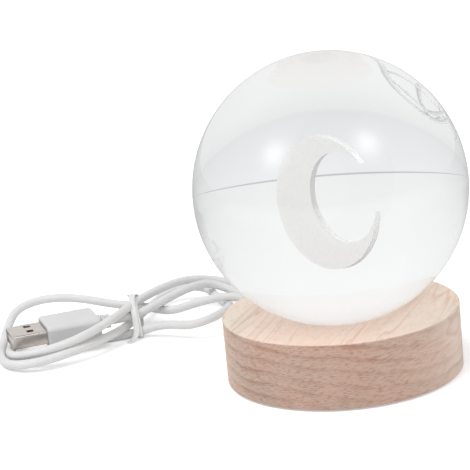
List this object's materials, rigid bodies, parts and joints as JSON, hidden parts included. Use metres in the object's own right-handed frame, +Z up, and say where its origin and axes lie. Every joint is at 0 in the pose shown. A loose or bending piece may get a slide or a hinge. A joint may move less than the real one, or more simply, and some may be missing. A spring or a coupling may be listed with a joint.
{
  "type": "crystal ball night light",
  "caption": "Clear glass ball engraved inside with a crescent moon, resting on a round wood base with a light inside, with a thin white cord tied in a hank that ends in a flat power plug.",
  "frame": {"origin": "on the table under the middle of the base", "axes": "+Z up through the middle of the base and the ball, front towards -Y, cord to -X"},
  "size_m": [0.149, 0.1339, 0.0958],
  "materials": {
    "clear_glass": "polished clear crystal glass",
    "frosted_glass": "fine frosted mark inside the glass",
    "beech_wood": "pale turned wood with a satin finish",
    "milky_plastic": "milky diffuser",
    "white_board": "white lacquered board",
    "led_plastic": "pale yellow lamp face",
    "black_plastic": "fine matt black",
    "solder": "bright solder",
    "red_wire": "red insulation",
    "black_wire": "black insulation",
    "screw_steel": "zinc-plated steel",
    "foot_rubber": "pale soft rubber",
    "white_cord": "white flexible jacket",
    "white_plastic": "white moulded plastic",
    "nickel_shell": "nickel-plated steel",
    "contact_brass": "gold-plated contacts"
  },
  "bodies": {
    "base": {"wood_base": "beech_wood", "diffuser_cap": "milky_plastic", "led_board": "white_board", "leds": "led_plastic", "resistors": "black_plastic", "solder_joints": "solder", "positive_wire": "red_wire", "negative_wire": "black_wire", "board_screws": "screw_steel", "bottom_cover": "black_plastic", "cover_screws": "screw_steel", "rubber_feet": "foot_rubber", "cord_inside": "white_cord", "cord_stop": "white_plastic", "cord_lead": "white_cord", "cord_hank": "white_cord", "twist_tie": "white_plastic", "plug_grip": "white_plastic", "usb_shell": "nickel_shell", "usb_tongue": "white_plastic", "usb_contacts": "contact_brass"},
    "ball": {"crystal_ball": "clear_glass", "engraved_moon": "frosted_glass"}
  },
  "joints": [
    {"name": "ball_lift", "type": "slide", "parent": "base", "child": "ball", "axis": [0, 0, 1], "range_m": [0, 0.1]}
  ]
}
